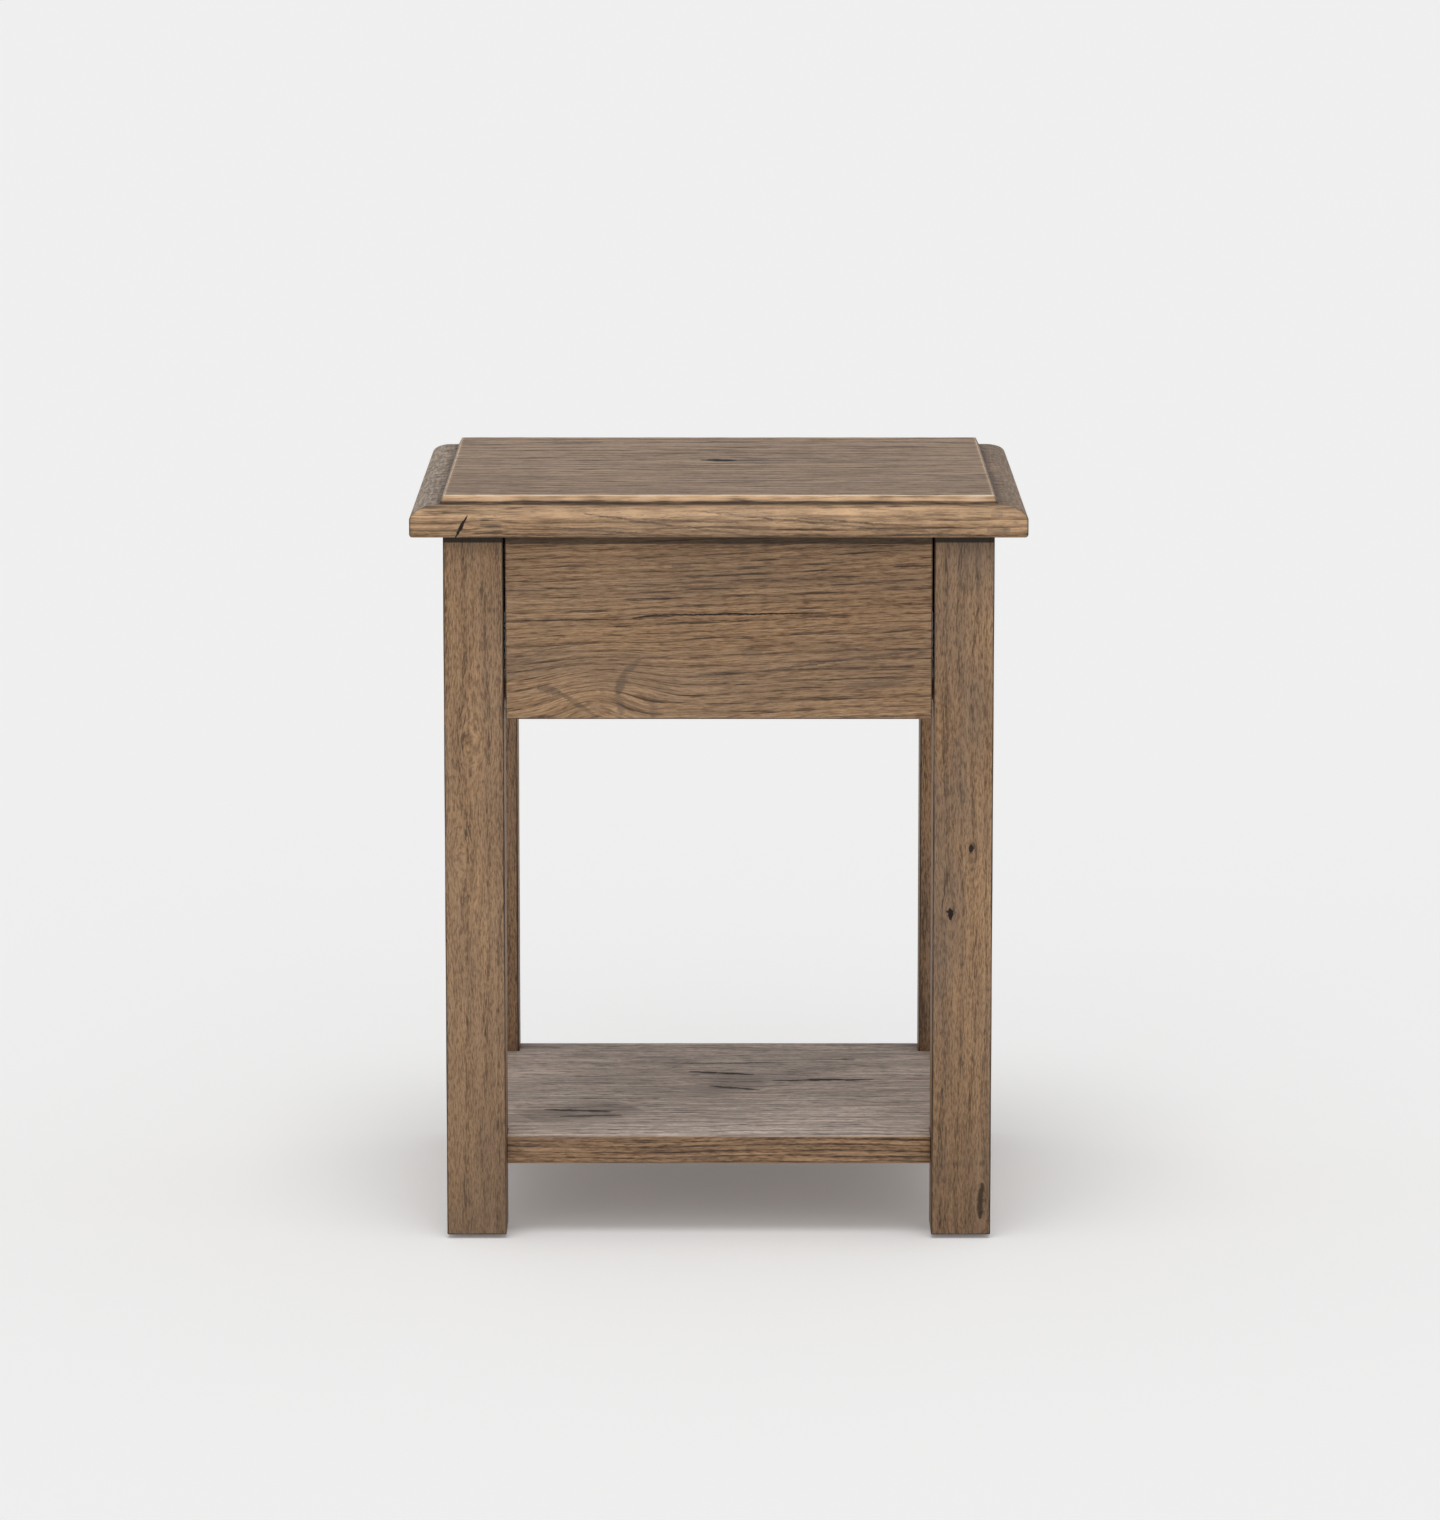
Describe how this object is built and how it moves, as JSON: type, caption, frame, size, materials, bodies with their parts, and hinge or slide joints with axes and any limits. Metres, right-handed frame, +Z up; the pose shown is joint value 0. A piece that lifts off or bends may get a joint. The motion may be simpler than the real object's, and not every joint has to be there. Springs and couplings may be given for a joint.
{
  "type": "side table with drawer",
  "caption": "Square-legged wooden side table with a moulded, overhanging top, a handle-less drawer on ball-bearing slides and a low shelf notched round the legs.",
  "frame": {"origin": "middle of the table's plan, at the underside of the glides, where it stands on the floor", "axes": "+Z up, front (the drawer's side) faces -Y, +X to the right as seen from the front"},
  "size_m": [0.56, 0.51, 0.692],
  "materials": {
    "oak_top": "greyed brown oak, matte lacquer",
    "oak_frame": "mid-brown oak with dark open pores, matte",
    "oak_drawer_front": "mid-brown oak, grain across, matte",
    "oak_shelf": "greyed brown oak, matte",
    "drawer_box_wood": "plain light hardwood, clear satin",
    "plywood": "sanded plywood",
    "beech": "plain unfinished beech",
    "black_plastic": "matte black nylon",
    "screw_steel": "bright zinc plate",
    "zinc_steel": "zinc-plated rolled steel",
    "cage_steel": "thin zinc-plated strip with polished balls"
  },
  "bodies": {
    "frame": {"apron_back": "oak_frame", "apron_left": "oak_frame", "apron_right": "oak_frame", "front_bottom_rail": "oak_frame", "front_top_rail": "oak_frame", "glide_back_left": "black_plastic", "glide_back_right": "black_plastic", "glide_front_left": "black_plastic", "glide_front_right": "black_plastic", "leg_back_left": "oak_frame", "leg_back_right": "oak_frame", "leg_front_left": "oak_frame", "leg_front_right": "oak_frame", "outer_screw_back_left": "screw_steel", "outer_screw_back_right": "screw_steel", "outer_screw_front_left": "screw_steel", "outer_screw_front_right": "screw_steel", "runner_rail_left": "beech", "runner_rail_right": "beech", "shelf": "oak_shelf", "shelf_dowel_back_left": "beech", "shelf_dowel_back_right": "beech", "shelf_dowel_front_left": "beech", "shelf_dowel_front_right": "beech", "slide_outer_left": "zinc_steel", "slide_outer_right": "zinc_steel", "top_cleat_left": "beech", "top_cleat_right": "beech", "top_screw_back_left": "screw_steel", "top_screw_back_right": "screw_steel", "top_screw_front_left": "screw_steel", "top_screw_front_right": "screw_steel", "top_slab": "oak_top"},
    "drawer": {"drawer_back": "drawer_box_wood", "drawer_bottom": "plywood", "drawer_box_front": "drawer_box_wood", "drawer_front": "oak_drawer_front", "drawer_side_left": "drawer_box_wood", "drawer_side_right": "drawer_box_wood", "front_screw_high_left": "screw_steel", "front_screw_high_right": "screw_steel", "front_screw_low_left": "screw_steel", "front_screw_low_right": "screw_steel", "inner_screw_back_left": "screw_steel", "inner_screw_back_right": "screw_steel", "inner_screw_front_left": "screw_steel", "inner_screw_front_right": "screw_steel", "slide_inner_left": "zinc_steel", "slide_inner_right": "zinc_steel"},
    "slide_middle_left": {"slide_middle_left": "zinc_steel"},
    "slide_middle_right": {"slide_middle_right": "zinc_steel"},
    "ball_cage_outer_left": {"ball_cage_outer_left": "cage_steel"},
    "ball_cage_outer_right": {"ball_cage_outer_right": "cage_steel"},
    "ball_cage_inner_left": {"ball_cage_inner_left": "cage_steel"},
    "ball_cage_inner_right": {"ball_cage_inner_right": "cage_steel"}
  },
  "joints": [
    {"name": "drawer_slide", "type": "slide", "parent": "frame", "child": "drawer", "axis": [0, -1, 0], "range_m": [0, 0.35]},
    {"name": "slide_middle_left_slide", "type": "slide", "parent": "frame", "child": "slide_middle_left", "axis": [0, -1, 0], "range_m": [0, 0.175]},
    {"name": "ball_cage_outer_left_slide", "type": "slide", "parent": "frame", "child": "ball_cage_outer_left", "axis": [0, -1, 0], "range_m": [0, 0.0875]},
    {"name": "ball_cage_inner_left_slide", "type": "slide", "parent": "frame", "child": "ball_cage_inner_left", "axis": [0, -1, 0], "range_m": [0, 0.2625]},
    {"name": "slide_middle_right_slide", "type": "slide", "parent": "frame", "child": "slide_middle_right", "axis": [0, -1, 0], "range_m": [0, 0.175]},
    {"name": "ball_cage_outer_right_slide", "type": "slide", "parent": "frame", "child": "ball_cage_outer_right", "axis": [0, -1, 0], "range_m": [0, 0.0875]},
    {"name": "ball_cage_inner_right_slide", "type": "slide", "parent": "frame", "child": "ball_cage_inner_right", "axis": [0, -1, 0], "range_m": [0, 0.2625]}
  ],
  "couplings": [
    {"joint": "slide_middle_left_slide", "follows": "drawer_slide", "ratio": 0.5},
    {"joint": "ball_cage_outer_left_slide", "follows": "drawer_slide", "ratio": 0.25},
    {"joint": "ball_cage_inner_left_slide", "follows": "drawer_slide", "ratio": 0.75},
    {"joint": "slide_middle_right_slide", "follows": "drawer_slide", "ratio": 0.5},
    {"joint": "ball_cage_outer_right_slide", "follows": "drawer_slide", "ratio": 0.25},
    {"joint": "ball_cage_inner_right_slide", "follows": "drawer_slide", "ratio": 0.75}
  ]
}
